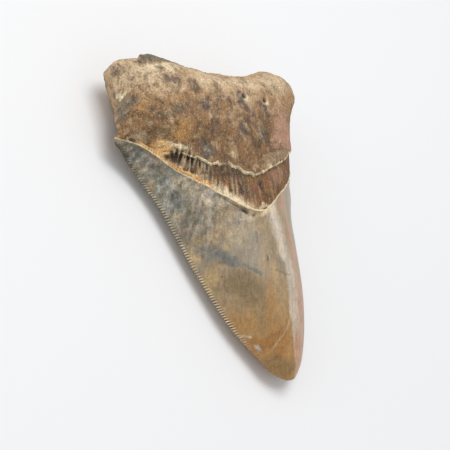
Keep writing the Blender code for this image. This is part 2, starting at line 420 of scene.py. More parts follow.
def tooth_net():
    net = Net()
    crown, upper = crown_stations(), upper_stations()
    rim_rows = split_rows(crown)
    rims = {}
    for sign in (-1, 1):
        edge = net.grid(LINGUAL, sign, np.concatenate([rim_rows, upper[1:]]))
        rims[sign] = edge[: len(rim_rows)], edge[len(rim_rows) - 1 :]
    tip = net.grid(LINGUAL, 0.0, np.zeros(1))[0]
    crest = None
    for side, share in ((LINGUAL, CROWN_SHARE), (LABIAL, LABIAL_SHARE)):
        crest = cover(net, side, share, crown, upper, rim_rows, rims, tip, crest)
    return net


def spread(side, inner, stations):
    """Across, at shares `inner` of the way from the middle to the innermost rim lines."""
    left, right = (near_rim(side, RIM_DEPTHS[-1], sign, stations)[:, None] for sign in (-1, 1))
    return np.where(inner < 0, -inner * left, inner * right)


def cover(net, side, share, crown, upper, rim_rows, rims, tip, crest):
    """One face of the tooth: its crown, its rims, and the bourlette and root above them."""
    lingual = side == LINGUAL
    inner = base_columns(ROOT_COLUMNS if lingual else ROOT_COLUMNS // LABIAL_SHARE)

    # The bourlette and root, with the rim's lines of points on both sides.
    rows = len(upper) - (0 if lingual else 1)
    left = np.stack([near_rim(side, d, -1, upper) for d in RIM_DEPTHS[:-1]], -1)
    right = np.stack([near_rim(side, d, 1, upper) for d in RIM_DEPTHS[-2::-1]], -1)
    across = np.concatenate([left, spread(side, inner, upper), right], -1)[:rows]
    body = net.grid(side, across, upper[:rows, None])
    left_rim, right_rim = (rims[sign][1][:rows, None] for sign in (-1, 1))
    body = np.concatenate([left_rim, body, right_rim], -1)
    net.fill(side, False, body)
    lines = len(RIM_DEPTHS)
    if lingual:
        crest = body[-1]
    else:
        numbers = np.arange(len(crest))
        middle = numbers[lines:-lines:LABIAL_SHARE]
        crest_stops = np.concatenate([numbers[:lines], middle, numbers[-lines:]])
        for i, (a, b) in enumerate(zip(crest_stops, crest_stops[1:])):
            net.add(side, False, [[body[-1][i], body[-1][i + 1], *crest[a : b + 1][::-1]]])

    # The crown's middle, whose columns are wider apart than the root's.
    across = spread(side, inner[:: share if lingual else 1], crown)
    field = net.grid(side, across[:-1], crown[:-1, None])
    net.fill(side, True, field)
    last = body[0][lines:-lines]
    net.seam(side, True, field[-1], last)

    # The rims beside the cutting edges, with rows close enough for the serrations.
    for sign, rim in ((-1, rims[-1][0]), (1, rims[1][0])):
        inwards = np.stack([near_rim(side, d, sign, rim_rows[:-1]) for d in RIM_DEPTHS[:-1]], -1)
        inwards = net.grid(side, inwards, rim_rows[:-1, None])
        ends = body[0][1:lines] if sign < 0 else body[0][-lines:-1][::-1]
        strip = np.concatenate([rim[:, None], np.vstack([inwards, ends])], -1)
        border = np.append(field[:, 0 if sign < 0 else -1], last[0 if sign < 0 else -1])
        net.fill(side, True, strip if sign < 0 else strip[:, ::-1])
        net.seam(side, True, border, strip[:, -1], flip=sign > 0)
        around = np.append(strip[0], border[0])
        fan = [[tip, b, a] if sign < 0 else [tip, a, b] for a, b in zip(around, around[1:])]
        net.add(side, True, fan)
    net.add(side, True, [[tip, b, a] for a, b in zip(field[0], field[0][1:])])
    return crest


# ---------------------------------------------------------------- relief


class Skin:
    """Every point of the net, with its smooth place, its normal and what is done to it."""

    def __init__(self, net):
        self.side, self.across, self.station = net.arrays()
        self.place = np.zeros((len(self.side), 3))
        self.flat = {}
        self.past_enamel, self.past_root = np.zeros((2, len(self.side)))  # mm beyond each margin
        for side in (LINGUAL, LABIAL):
            mine = self.side == side
            reach = reach_at(side, self.across, self.station)
            points, self.flat[side] = smooth_surface(side, self.across, reach)
            self.place[mine] = points[mine]
            enamel, root, _ = margin_reaches(side, self.across[mine])
            self.past_enamel[mine] = reach[mine] - enamel
            self.past_root[mine] = reach[mine] - root
        self.x, self.reach = self.place[:, 0], self.place[:, 1]
        self.lingual = self.side == LINGUAL
        self.root = smooth_step(1.95, 2.0, self.station)
        self.crown = 1 - smooth_step(0.995, 1.005, self.station)
        self.push = np.zeros(len(self.side))  # mm along the normal
        self.shift = np.zeros_like(self.place)  # mm in any direction
        self.dirt_and_shade = np.zeros(len(self.side))  # 1 where dirt gathers and where shade is painted into recesses, darkening towards pit
        self.pale = np.zeros(len(self.side))  # 1 on broken and worn edges, and a painted highlight on the nutrient holes' rims
        self.flake = self.flap = 0  # 1 on each, once it is added
        crust = plateau(*CRUST_SPAN, self.x) * smooth_step(0.1, 0.5, self.past_enamel) * self.lingual
        reaches = 1.9 + 0.9 * self.noise(1.6, 2, 32)
        self.crust = crust * (1 - smooth_step(0.7, 1.0, self.past_enamel / reaches))

    def noise(self, size, octaves, seed):
        return fractal(self.place, size, octaves, seed)

    def patches(self, low, high, size, octaves, seed):
        """Noise as patches: 0 where it is under `low`, and 1 where it is over `high`."""
        return smooth_step(low, high, self.noise(size, octaves, seed))

    def leaning_noise(self, lean, size, octaves, seed):
        """Noise whose long axis leans across the tooth by `lean` mm for each mm of reach."""
        place = self.place - [[lean, 0, 0]] * self.place[:, 1:2]
        return fractal(place, size, octaves, seed)

    def near(self, x, reach, wide, long=None, turn=0.0):
        """1 at a spot of the lingual face, falling to 0 outside it; turned to the right."""
        c, s = np.cos(np.radians(turn)), np.sin(np.radians(turn))
        dx, dr = self.x - x, self.reach - reach
        off = ((dx * c - dr * s) / wide) ** 2 + ((dr * c + dx * s) / (long or wide)) ** 2
        return np.where(self.lingual, np.exp(-(off**1.5)), 0)

    def along(self, line, width):
        """1 on a line of (x, reach) points of the lingual face, and 0 away from it."""
        wander = 0.35 * self.noise(1.3, 2, 31)
        here = np.stack([self.x + wander, self.reach - wander], -1)
        nearest = np.full(len(here), 1e9)
        for a, b in zip(np.array(line), np.array(line)[1:]):
            t = np.clip((here - a) @ (b - a) / ((b - a) @ (b - a)), 0, 1)
            nearest = np.minimum(nearest, np.linalg.norm(here - a - t[:, None] * (b - a), axis=1))
        return np.where(self.lingual, np.exp(-((nearest / width) ** 2)), 0)


def add_root_lumps(skin):
    """The root is porous bone: lumpy, pitted, and finely ribbed just above the bourlette."""
    above = skin.station - 2
    worn = skin.root * (0.45 + 0.55 * smooth_step(0.1, 0.45, above))
    lumps = 0.38 * skin.noise(11, 2, 41) + 0.22 * skin.noise(3.6, 2, 42)
    lumps += (0.1 + 0.14 * smooth_step(0.5, 0.9, above)) * skin.noise(1.5, 2, 43)
    skin.push += worn * (lumps - 0.3)
    ribs = skin.noise((1.0, 9, 3), 2, 44)
    skin.push += 0.14 * skin.root * (1 - smooth_step(0.25, 0.6, above)) * ribs
    # Painted shade darkens the dips between the lumps.
    skin.dirt_and_shade += 0.35 * skin.root * smooth_step(0.1, 0.8, -lumps - 0.1 * ribs)


def add_flake(skin):
    """The flake stands up at its broken end and dies away towards the other one."""
    broken_end, other_end, reach, height = FLAKE
    off = np.hypot(skin.reach - reach, skin.place[:, 2] - height) + 0.3 * skin.noise(1.2, 2, 45)
    length = plateau(broken_end, broken_end + 0.3, broken_end + 3, other_end, skin.x)
    skin.flake = length * np.exp(-((off / 1.7) ** 4)) * skin.lingual
    skin.push += FLAKE_RISE * skin.flake
    # Painted shade darkens the gap at its broken end.
    gap = np.exp(-(((skin.x - broken_end + 0.5) / 0.5) ** 2)) * np.exp(-((off / 1.5) ** 2))
    skin.dirt_and_shade += 0.8 * gap


def add_pores(skin):
    """Small round pits at random points of the root."""
    draw = np.random.default_rng(PORE_SEED)
    picks = draw.choice(np.flatnonzero((skin.station > 2.12) & (skin.station < 2.97)), PORES)
    radii = draw.uniform(*PORE_RADII, PORES)
    depths = draw.uniform(*PORE_DEPTHS, PORES)
    for centre, radius, depth in zip(skin.place[picks], radii, depths):
        off = skin.place - centre
        pit = np.exp(-((off * off).sum(1) / radius**2) ** 1.5)
        skin.push -= depth * pit
        # Each pit is darkened with painted shade.
        skin.dirt_and_shade += 0.5 * pit


def add_holes(skin):
    """Each nutrient hole is darkened inside with painted shade, and has a rim that stands up a little
    below it, painted pale as a highlight.
    """
    for x, reach, radius, depth in NUTRIENT_HOLES:
        rim = skin.near(x + 0.5, reach - 0.7, radius * 1.7)
        hole = skin.near(x, reach, radius)
        skin.push += 0.3 * rim - (depth + 0.3) * hole
        skin.pale += np.maximum(rim - 1.5 * hole, 0)
        skin.dirt_and_shade += 2.2 * hole


def add_bourlette(skin):
    """The band between the enamel and the root lies below both of their broken lips."""
    here = np.where(skin.lingual, plateau(*BOURLETTE_ENDS, skin.across), 0.3)
    up, band = skin.station - 1, (skin.station > 1) & (skin.station < 2)
    sunk = 0.35 * smooth_step(0, 0.07, up) + 0.65 * smooth_step(0.1, 0.85, up)
    skin.push -= BOURLETTE_DEPTH * here * sunk * (up < 0.999)
    inside = here * smooth_step(0, 0.5, skin.past_enamel) * (1 - smooth_step(-0.4, 0, skin.past_root))
    left_end = smooth_step(-0.4, -0.55, skin.across)
    ribs = (0.07 + 0.2 * left_end) * skin.leaning_noise(FIBRE_LEAN, (0.7, 11, 4), 2, 51)
    skin.push += inside * (ribs - 0.1 + 0.1 * skin.noise((2.5, 5, 3), 2, 52))
    skin.push += 0.3 * skin.crust
    shaded = (0.3 + 0.3 * left_end) * smooth_step(0.0, -0.12, ribs) + 0.15 * left_end
    skin.dirt_and_shade += inside * shaded * band * (1 - skin.crust)
    # Painted shadow under the root's lip darkens the band just below it.
    skin.dirt_and_shade += 0.45 * here * band * smooth_step(-2.0, -0.4, skin.past_root)
    cells, walls = np.zeros((2, len(skin.x)))
    for x, reach, wide, long, turn, depth in BOURLETTE_CELLS:
        cell = skin.near(x, reach, wide, long, turn)
        skin.push -= depth * cell
        cells = np.maximum(cells, cell)
        walls = np.maximum(walls, skin.near(x, reach, wide + 0.4, long + 0.5, turn))
    # Painted shade darkens the pits.
    skin.dirt_and_shade += 1.1 * cells
    skin.pale += 0.7 * np.maximum(walls - 1.8 * cells, 0) * (skin.station > 1)
    # The root's broken lip is pale along its ragged rim, with splinters that hang over the band.
    jag = skin.leaning_noise(FIBRE_LEAN, (0.75, 3.0, 2), 3, 53)
    above, below = 0.3 + 0.5 * np.clip(jag, -0.4, 1), 0.15 + 0.7 * np.clip(-jag, 0, 1)
    lip = np.where(skin.past_root > 0, skin.past_root / above, -skin.past_root / below)
    lip = here * (1 - smooth_step(0.7, 1.25, lip))
    skin.push += (0.1 + 0.12 * jag) * lip * (skin.station >= 2)
    skin.pale += lip * np.where(skin.lingual, 0.8 + 0.6 * skin.noise(1.2, 2, 55), 0.2)
    skin.dirt_and_shade *= 1 - 0.8 * lip * skin.lingual
    # The enamel ends in frayed pale dentine: broad in the middle, thin to both sides.
    jag = skin.leaning_noise(FIBRE_LEAN, (0.7, 3.0, 2), 3, 54)
    broad = plateau(-0.62, -0.5, -0.36, -0.14, skin.across)
    frayed = 0.2 + 0.12 * np.clip(jag, 0, 1) + broad * (1.5 + 0.9 * np.clip(jag, -0.8, 1))
    edge = np.where(skin.past_enamel > 0, skin.past_enamel / frayed, -skin.past_enamel / 0.2)
    edge = 1 - smooth_step(0.75, 1.3, edge)
    edge = edge * (1 - smooth_step(0.8, 1.0, np.abs(skin.across)) * 0.4)
    skin.push += 0.12 * edge
    skin.pale += edge * np.where(skin.lingual, 0.85 + 0.35 * skin.noise(1.3, 2, 56), 0.35)


def add_flap(skin):
    """A thin flap lies over the root's lip, with a dark line along its upper edge."""
    x, reach, long, wide, turn = FLAP
    spot = skin.near(x, reach, long, wide, turn) + 0.12 * skin.noise(1.6, 3, 46)
    skin.flap = smooth_step(0.3, 0.5, spot) * (skin.station >= 2)
    edge = plateau(0.12, 0.3, 0.3, 0.42, spot)
    above = smooth_step(-0.5, 0.5, skin.reach - reach + np.tan(np.radians(turn)) * (skin.x - x))
    skin.push += 0.3 * skin.flap - 0.25 * edge * above
    skin.dirt_and_shade += 0.6 * edge * above * (skin.station >= 2)
    skin.dirt_and_shade *= 1 - 0.7 * skin.flap


def add_shoulder(skin):
    """The enamel's left corner droops below the root's edge, which is worn back above it."""
    corner = np.exp(-(((skin.reach - SHOULDER_REACH) / 2.0) ** 2))
    skin.shift[:, 2] -= SHOULDER_DROOP * corner * smooth_step(-0.88, -0.99, skin.across)
    side = smooth_step(-0.8, -0.98, skin.across) * smooth_step(84, 104, skin.reach)
    skin.shift[:, 0] += ROOT_SIDE_WORN * side


def add_crown_waves(skin):
    """Enamel is nearly smooth: faint swells, and lines that run from the root to the tip."""
    swells = 0.12 * skin.noise((6, 16, 6), 2, 61) + 0.03 * skin.noise((1.6, 14, 3), 2, 62)
    skin.push += skin.crown * (swells - 0.06)


def add_cracks_and_chips(skin):
    """Cracks are cut in and dark; scratches are only pale; chips are shallow dishes."""
    for line, width, depth, darkness in CRACKS:
        crack = skin.along(line, width) * (0.6 + 0.5 * skin.noise(1.8, 1, 71))
        skin.push -= depth * crack
        skin.dirt_and_shade += darkness * crack
    for line, width, paleness in SCRATCHES:
        skin.pale += paleness * skin.along(line, width)
    for x, reach, radius, depth in ENAMEL_CHIPS:
        chip = skin.near(x, reach, radius)
        skin.push -= depth * smooth_step(0.2, 0.7, chip)
        skin.dirt_and_shade += 0.75 * chip * (reach > CHIP_DARK_ABOVE)


def add_serrations(skin):
    """Fine rounded teeth along both cutting edges, worn away near the tip."""
    reaches = np.linspace(0, 90, 1801)  # every 0.05 mm, past the enamel's end
    for sign, knots in ((-1, LEFT_HALF_WIDTH), (1, RIGHT_HALF_WIDTH)):
        mine = (np.sign(skin.across) == sign) & (skin.station <= 1)
        widths = curve(knots)(reaches) * quarter_round(reaches, TIP_ROUNDING)
        lengths = np.concatenate([[0], np.cumsum(np.hypot(np.diff(widths), np.diff(reaches)))])
        slope = np.interp(skin.reach[mine], reaches, np.gradient(widths, reaches))
        place, reach = skin.place[mine], skin.reach[mine]
        length = np.interp(reach, reaches, lengths) + 0.12 * lattice_noise(place, 2.5, 81)
        inside = (1 - np.abs(skin.across[mine])) * rim_scale(skin.across[mine], reach)
        edge = np.exp(-((inside / SERRATION_LENGTH) ** 4))
        worn = smooth_step(*SERRATION_WORN, reach + 4 * lattice_noise(place, 9, 82))
        worn = worn * (0.8 + 0.35 * lattice_noise(place, 3, 83))
        gap = (0.5 + 0.5 * np.cos(2 * np.pi * length / SERRATION_PITCH)) ** 1.3
        nick = smooth_step(0.25, 0.8, lattice_noise(place, 1.1, 84)) * (1 - worn)
        deep = np.exp(-((inside / 0.7) ** 2))
        cut = (SERRATION_DEPTH * gap * worn + 0.22 * nick) * deep
        run = np.hypot(1, slope)
        skin.shift[mine, 0] -= sign * cut / run
        skin.shift[mine, 1] += cut * slope / run
        skin.shift[mine, 2] -= 0.45 * cut * skin.side[mine] * (inside > 0.1)
        # Painted shade darkens the gaps between the serrations.
        skin.dirt_and_shade[mine] += 1.1 * gap * worn * edge
        skin.pale[mine] += 0.8 * (1 - gap) ** 2 * worn * edge * smooth_step(85, 60, reach)


RELIEF = (
    add_root_lumps, add_flake, add_pores, add_holes, add_bourlette, add_flap, add_shoulder,
    add_crown_waves, add_cracks_and_chips, add_serrations,
)


def inside_box(points):
    """Eases the points that would pass the CAD solid's box back inside it, without flats."""
    low, high = (np.array(corner) / MM for corner in CAD_BOX)
    low, high = low - [TIP_X, TIP_Y, 0], high - [TIP_X, TIP_Y, 0]
    over = np.maximum(points - (high - BOX_EASE), 0)
    points = points - over + BOX_EASE * (1 - np.exp(-over / BOX_EASE))
    under = np.maximum(low + BOX_EASE - points, 0)[:, :2]
    points[:, :2] += under - BOX_EASE * (1 - np.exp(-under / BOX_EASE))
    points[:, 2] = LYING_FLAT * np.logaddexp(0, points[:, 2] / LYING_FLAT)
    return points


# ---------------------------------------------------------------- colours


def linear(code):
    """A six-digit sRGB colour code as linear red, green and blue."""
    value = np.array([int(code[i : i + 2], 16) for i in (0, 2, 4)]) / 255
    return np.where(value <= 0.04045, value / 12.92, ((value + 0.055) / 1.055) ** 2.4)


# Two of the pinks paint reflection on the right flanks of root and crown, not the tooth's colour.
COLOURS = {
    "tan": "b08a61", "brown": "7f5b33", "cream": "e0c6a0", "ivory": "f6e3bb",
    "umber": "463522", "plum": "4d4043", "gold": "c0904f", "crust": "f0bd79",
    "rust": "8a5336", "flank_pink_reflection": "bd9075", "ash": "5c5a50", "pit": "2b2019",
    "slate": "807d72", "charcoal": "55524a", "blue": "666b68", "beige": "9e8767",
    "straw": "b99b68", "ochre": "a97c42", "amber": "9c6b35", "olive": "75623f",
    "pearl": "c4b49b", "pink_reflection": "bc8768", "moss": "66644a", "frost": "b9bab0",
    "mist": "d2c3b0", "orange": "cf8846",
}
COLOURS = {name: linear(code) for name, code in COLOURS.items()}

# (x, reach, half size along the turned axis, half size across it, turn in degrees,
# strength, colour) of the stains of the lingual face, and of spots of painted pink reflection.
# A turn of 90 runs to the root.
ROOT_STAINS = [
    (-36, 104, 9, 6, 0, 0.6, "cream"), (-30.5, 97.5, 7, 4.5, 0, 0.45, "cream"),
    (-12, 98.5, 11, 3.6, 0, 0.7, "cream"), (5, 97.5, 9, 3.4, 0, 0.7, "cream"),
    (21, 100.5, 9, 4.5, 0, 0.75, "cream"), (14, 101.5, 3.6, 2, -20, 0.5, "gold"),
    (-27, 98.2, 3.4, 1.5, -12, 0.75, "plum"), (-20, 95.8, 2.4, 1.8, -30, 0.5, "plum"),
    (-24.2, 94.3, 1.6, 1.3, 0, 0.7, "cream"), (-42.4, 93, 1.4, 5, 0, 0.7, "ash"),
    (-40.2, 93.2, 1.8, 1.6, 0, 0.8, "ash"), (-41.7, 97.1, 0.6, 1, 0, 0.9, "ivory"),
    (-39.8, 87.2, 1.4, 1.6, 0, 0.5, "tan"), (-16.5, 90.6, 2.3, 1.8, 0, 0.65, "plum"),
    (-9.5, 89.6, 4.5, 1.5, 0, 0.7, "plum"), (-0.6, 91.6, 2.6, 1.6, 0, 0.9, "plum"),
    (2.2, 89.2, 2.4, 1.2, -30, 0.8, "plum"), (9.8, 89.6, 2, 1.2, -45, 0.9, "plum"),
    (12.2, 86.8, 1.1, 2.4, 15, 0.85, "plum"), (5.2, 87.3, 2, 1.6, 0, 0.7, "plum"),
    (1.6, 84.4, 1.6, 2.6, 10, 0.7, "plum"), (-2.6, 82.4, 1.4, 3.4, 10, 0.7, "plum"),
    (-27, 87.6, 2.8, 1.8, -30, 0.6, "ash"), (8.4, 80, 1.8, 2.6, 20, 0.75, "ash"),
    (-15.8, 81.4, 0.7, 4.5, 0, 0.6, "umber"), (-6.4, 84.4, 2.2, 3, 0, 0.1, "cream"),
    (5.6, 81.2, 1, 4.6, 30, 0.5, "plum"), (-17.4, 75.5, 3.6, 2.2, -10, 0.85, "ash"),
    (13.5, 73.4, 6, 1.4, 13, 0.4, "ash"), (-26.2, 81.2, 3, 3, 0, 0.6, "gold"),
    (-33.4, 81.5, 3.4, 2, -15, 0.7, "olive"), (-32.2, 77.4, 3.2, 1.6, -33, 1, "crust"),
    (-36.5, 90, 1.8, 3, 0, 0.5, "gold"), (-10, 89, 1.5, 1.2, 0, 0.5, "gold"),
    # The pink spots at x 21.5 and 16.5 are painted pink reflection on the root's right flank, not
    # stains.
    (21.5, 83, 7, 8.5, 0, 0.85, "flank_pink_reflection"), (-9, 78.5, 1.2, 5, 10, 0.5, "brown"),
    (-28, 76.9, 3.8, 0.9, -14, 0.9, "ivory"), (-21, 80, 1, 4, 0, 0.4, "umber"),
    (3.4, 76.2, 4, 2.6, 15, 0.4, "umber"), (10.5, 79, 1.2, 3, 25, 0.4, "umber"),
    (-8.4, 75.8, 2.4, 2.4, 0, 0.2, "cream"), (-9, 72.4, 2.4, 1.4, 0, 0.45, "cream"),
    (-17.2, 88.2, 3.6, 1.5, 0, 0.75, "plum"), (-31.5, 86.3, 4.5, 1.7, 0, 0.6, "umber"),
    (-40.2, 82.4, 2.4, 1.2, -30, 0.5, "cream"), (16.5, 78.2, 5, 2.4, 10, 0.7, "flank_pink_reflection"),
    (8.5, 70.3, 4, 1.2, 20, 0.5, "cream"), (-27, 102.8, 9, 2, 0, 0.6, "ivory"),
]
SMOOTH_FLANK = (23.0, 83.5, 6.5, 8.0)  # x, reach and half sizes of the root's least gritty part
CRUST_SPAN = (-30.5, -28.5, -19.0, -15.5)  # x where an orange crust on the band fades in and out
BAND_STAINS = [
    (-28.8, 72.1, 1.4, 0.5, -30, 0.9, "slate"), (-9, 62, 1.1, 1.8, 0, 0.8, "pit"),
    (-6.4, 62.8, 0.9, 1.4, 0, 0.7, "ash"), (1.8, 62.3, 1.2, 1.5, 0, 0.95, "pit"),
    (-4.8, 60, 1.4, 1.6, 0, 0.6, "ash"), (-2.4, 60.2, 1.6, 2, 0, 0.7, "rust"),
    (3.2, 59.4, 1.8, 1, 25, 0.6, "umber"), (0.4, 58, 2, 1.4, 0, 0.6, "rust"),
    # The pink spot at x 12 is painted pink reflection, not a stain.
    (6, 64.2, 2.2, 3, 0, 0.5, "rust"), (12, 66, 6, 4, 30, 0.35, "flank_pink_reflection"),
    (-16, 68, 3.5, 2, -30, 0.6, "umber"), (-9, 66.4, 5, 2.6, 0, 0.8, "umber"),
    (-0.5, 54.9, 3.6, 0.9, 10, 0.8, "cream"), (-21, 66.5, 3, 1.8, -30, 0.45, "cream"),
    (-25.8, 72, 1.6, 1, -30, 0.5, "tan"),
]
CROWN_STAINS = [
    (-31, 66, 14, 9, 55, 0.85, "slate"), (-25, 57, 9, 6, 60, 0.6, "slate"),
    (-40.5, 80.5, 7, 4.5, 40, 0.75, "charcoal"), (-36, 76.5, 4.5, 3, 40, 0.5, "charcoal"),
    (-38.2, 78.5, 2, 1.3, 40, 0.75, "ash"), (-33.5, 74.6, 1.8, 1, 20, 0.5, "pearl"),
    (-30.2, 69.4, 3.6, 1.6, 65, 0.5, "frost"), (-27, 61.5, 4.5, 2.2, 70, 0.5, "blue"),
    (-33.6, 67.8, 2.6, 1.2, 60, 0.5, "straw"), (-22.5, 65.5, 5.5, 2.4, -40, 0.7, "beige"),
    (-17.5, 59.5, 5.5, 2, -38, 0.6, "pearl"), (-26.5, 72, 3, 1.2, -30, 0.4, "frost"),
    (-25.6, 54.2, 6, 0.9, 65, 0.6, "charcoal"), (-22.3, 55.5, 5, 0.8, 65, 0.5, "charcoal"),
    (-29, 57.5, 4.5, 0.9, 60, 0.6, "moss"), (-19.8, 52, 4.5, 0.7, 65, 0.45, "charcoal"),
    (-28.6, 63.5, 3.6, 0.8, 62, 0.5, "charcoal"), (-31.5, 70.5, 3, 0.8, 62, 0.5, "moss"),
    (-25.4, 42, 2, 7, -18, 0.75, "straw"), (-22.6, 34, 2.2, 6, -18, 0.6, "straw"),
    (-20.4, 43.6, 5.5, 2.1, -42, 0.85, "blue"), (-16, 40, 3.6, 2, -40, 0.85, "blue"),
    (-17.4, 39, 2.6, 1, -30, 0.6, "charcoal"), (-11.6, 36.2, 4.6, 0.9, -50, 0.7, "blue"),
    (-15.5, 33, 5, 4.5, -20, 0.65, "olive"), (-11.8, 28.5, 4.5, 4.5, 0, 0.65, "olive"),
    (-9, 22, 4, 5, 0, 0.35, "olive"), (-6.4, 24, 2, 8, -12, 0.6, "ochre"),
    (-15.4, 21, 5, 3.4, -20, 0.5, "ochre"), (-5, 11.5, 3.5, 7, -5, 0.65, "amber"),
    (-10, 13, 4, 3, -20, 0.75, "amber"), (-6.6, 6, 4.6, 2.6, -25, 0.5, "olive"),
    (-2.6, 2.6, 4, 2.4, 0, 0.5, "olive"), (-10.6, 11.6, 0.6, 1.1, 20, 0.75, "frost"),
    # The pink spots on the right half, at x 4 to 12, are painted pink reflection, not stains.
    (8.4, 26, 2.8, 14, -8, 0.75, "pink_reflection"), (11, 43, 3.2, 9, -8, 0.6, "pink_reflection"),
    (4, 8, 3.2, 7, -4, 0.75, "pink_reflection"), (-9.5, 52.4, 4, 1.7, -20, 0.5, "mist"),
    (22, 55, 7, 12, 0, 0.25, "slate"), (-24.4, 65.8, 4.6, 1.8, -38, 0.7, "pearl"),
    (12, 57.5, 4.5, 2.5, 20, 0.55, "pink_reflection"), (-18.2, 60.9, 4, 1.5, -38, 0.6, "mist"),
    (-2.2, 51.6, 0.9, 0.6, 0, 0.7, "rust"), (0.6, 53.2, 4.5, 1.2, 15, 0.7, "cream"),
]
# (reach, x) of the left edge of a pale band beside the ridge, and where it fades to the right.
# The band is partly a pale stain and partly a painted highlight.
PALE_STAIN_AND_HIGHLIGHT = [(0, 1.0), (8, -0.3), (14, 0.0), (21, -0.7), (25, 0.2), (31, 0.6), (39, -1.0), (50, -1.0)]
PALE_STAIN_AND_HIGHLIGHT_FADE = (4.0, 10.0)


def stain(skin, colour, stains):
    """Blends stains, and spots of painted pink reflection, with wandering edges into the colours of the
    points, in place.
    """
    x = skin.x + 1.3 * skin.noise(5, 3, 91) + 0.5 * skin.noise(1.3, 2, 93)
    reach = skin.reach + 1.3 * skin.noise(5, 3, 92) + 0.5 * skin.noise(1.3, 2, 94)
    for at_x, at_reach, long, wide, turn, strength, name in stains:
        c, s = np.cos(np.radians(turn)), np.sin(np.radians(turn))
        dx, dr = x - at_x, reach - at_reach
        off = np.hypot((dx * c + dr * s) / long, (dr * c - dx * s) / wide)
        amount = strength * (1 - smooth_step(0.45, 1.3, off)) * skin.lingual
        colour += (COLOURS[name] - colour) * amount[:, None]


def mixed(colour, *layers):
    """The colour under layers of (name, amount), the first one lowest."""
    for name, amount in layers:
        colour = colour + (COLOURS[name] - colour) * np.clip(amount, 0, 1)[:, None]
    return colour


def root_colours(skin):
    colour = np.tile(COLOURS["tan"], (len(skin.x), 1))
    height, hidden = skin.station - 2, 1.0 - skin.lingual
    colour = mixed(
        colour,
        ("brown", 0.8 * (1 - smooth_step(0.15, 0.65, height))),
        ("brown", 0.5 * skin.patches(0.1, 0.9, 6, 3, 101)),
        ("cream", 0.35 * smooth_step(0.5, 0.85, height + 0.15 * skin.noise(5, 2, 102))),
        ("umber", 0.4 * skin.patches(0.3, 1.1, (1.1, 7, 4), 3, 103)),
        ("plum", 0.6 * hidden * skin.patches(0.35, 0.9, 9, 3, 104)),
        ("gold", 0.5 * hidden * skin.patches(0.4, 1.0, 11, 2, 105)),
    )
    stain(skin, colour, ROOT_STAINS)
    grit = gritty(skin)
    # The crest behind the flake is painted grey as shade along the root's top rim.
    crest = smooth_step(*CREST_SHADE, skin.reach + 0.4 * skin.noise(2.0, 2, 109))
    crest = crest * plateau(FLAKE[0], FLAKE[0] + 0.5, *CREST_SHADE_END, skin.x)
    crest = crest * skin.lingual * smooth_step(*CREST_HEIGHT, skin.place[:, 2])
    return mixed(
        colour,
        ("plum", 0.5 * grit * skin.patches(0.3, 1.0, 3.2, 3, 108)),
        ("cream", 0.35 * grit * skin.patches(0.1, 0.9, 1.6, 3, 106)),
        ("umber", 0.5 * grit * skin.patches(0.1, 0.9, 1.9, 3, 107)),
        ("beige", 0.55 * skin.flap),
        # The flake is grey; the crest beside it gets the same grey as painted shade.
        ("ash", 0.9 * np.maximum(skin.flake, 0.8 * crest)),
    )


def band_colours(skin):
    colour = np.tile(COLOURS["brown"], (len(skin.x), 1))
    fibres = skin.leaning_noise(FIBRE_LEAN, (0.7, 12, 3), 2, 111)
    threads = smooth_step(0.25, 0.5, skin.leaning_noise(FIBRE_LEAN, (0.6, 9, 3), 2, 114))
    low = 1 - smooth_step(1.5, 4.5, skin.past_enamel + 1.5 * fibres)
    colour = mixed(
        colour,
        ("rust", 0.45 * skin.patches(-0.2, 0.7, (3, 6, 4), 2, 112)),
        ("umber", 0.75 * smooth_step(-0.1, 0.5, fibres)),
        ("tan", 0.45 * smooth_step(0.1, 0.7, -fibres)),
        ("cream", 0.5 * smooth_step(-0.1, -0.5, skin.across) * threads),
        ("cream", 0.75 * low * plateau(-0.66, -0.55, -0.3, -0.05, skin.across)),
    )
    stain(skin, colour, BAND_STAINS)
    end = plateau(-0.77, -0.79, -0.88, -0.92, skin.across)
    return mixed(
        colour,
        ("crust", np.maximum(skin.crust, end * skin.lingual)),
        ("orange", 0.8 * skin.crust * skin.patches(-0.2, 0.5, 1.8, 2, 115)),
    )


def pale_stain_and_highlight(skin):
    # A pale band beside the ridge: partly a pale stain, partly a painted highlight.
    into_band = skin.x - curve(PALE_STAIN_AND_HIGHLIGHT)(skin.reach) + 0.5 * skin.noise(3, 2, 127)
    soft = 0.9 + 3.2 * smooth_step(26, 40, skin.reach)
    pale = smooth_step(0, 1, into_band / soft) * (1 - smooth_step(*PALE_STAIN_AND_HIGHLIGHT_FADE, into_band))
    strength = 0.35 + 0.3 * smooth_step(8, 18, skin.reach) + 0.25 * smooth_step(28, 42, skin.reach)
    return pale * strength * skin.lingual


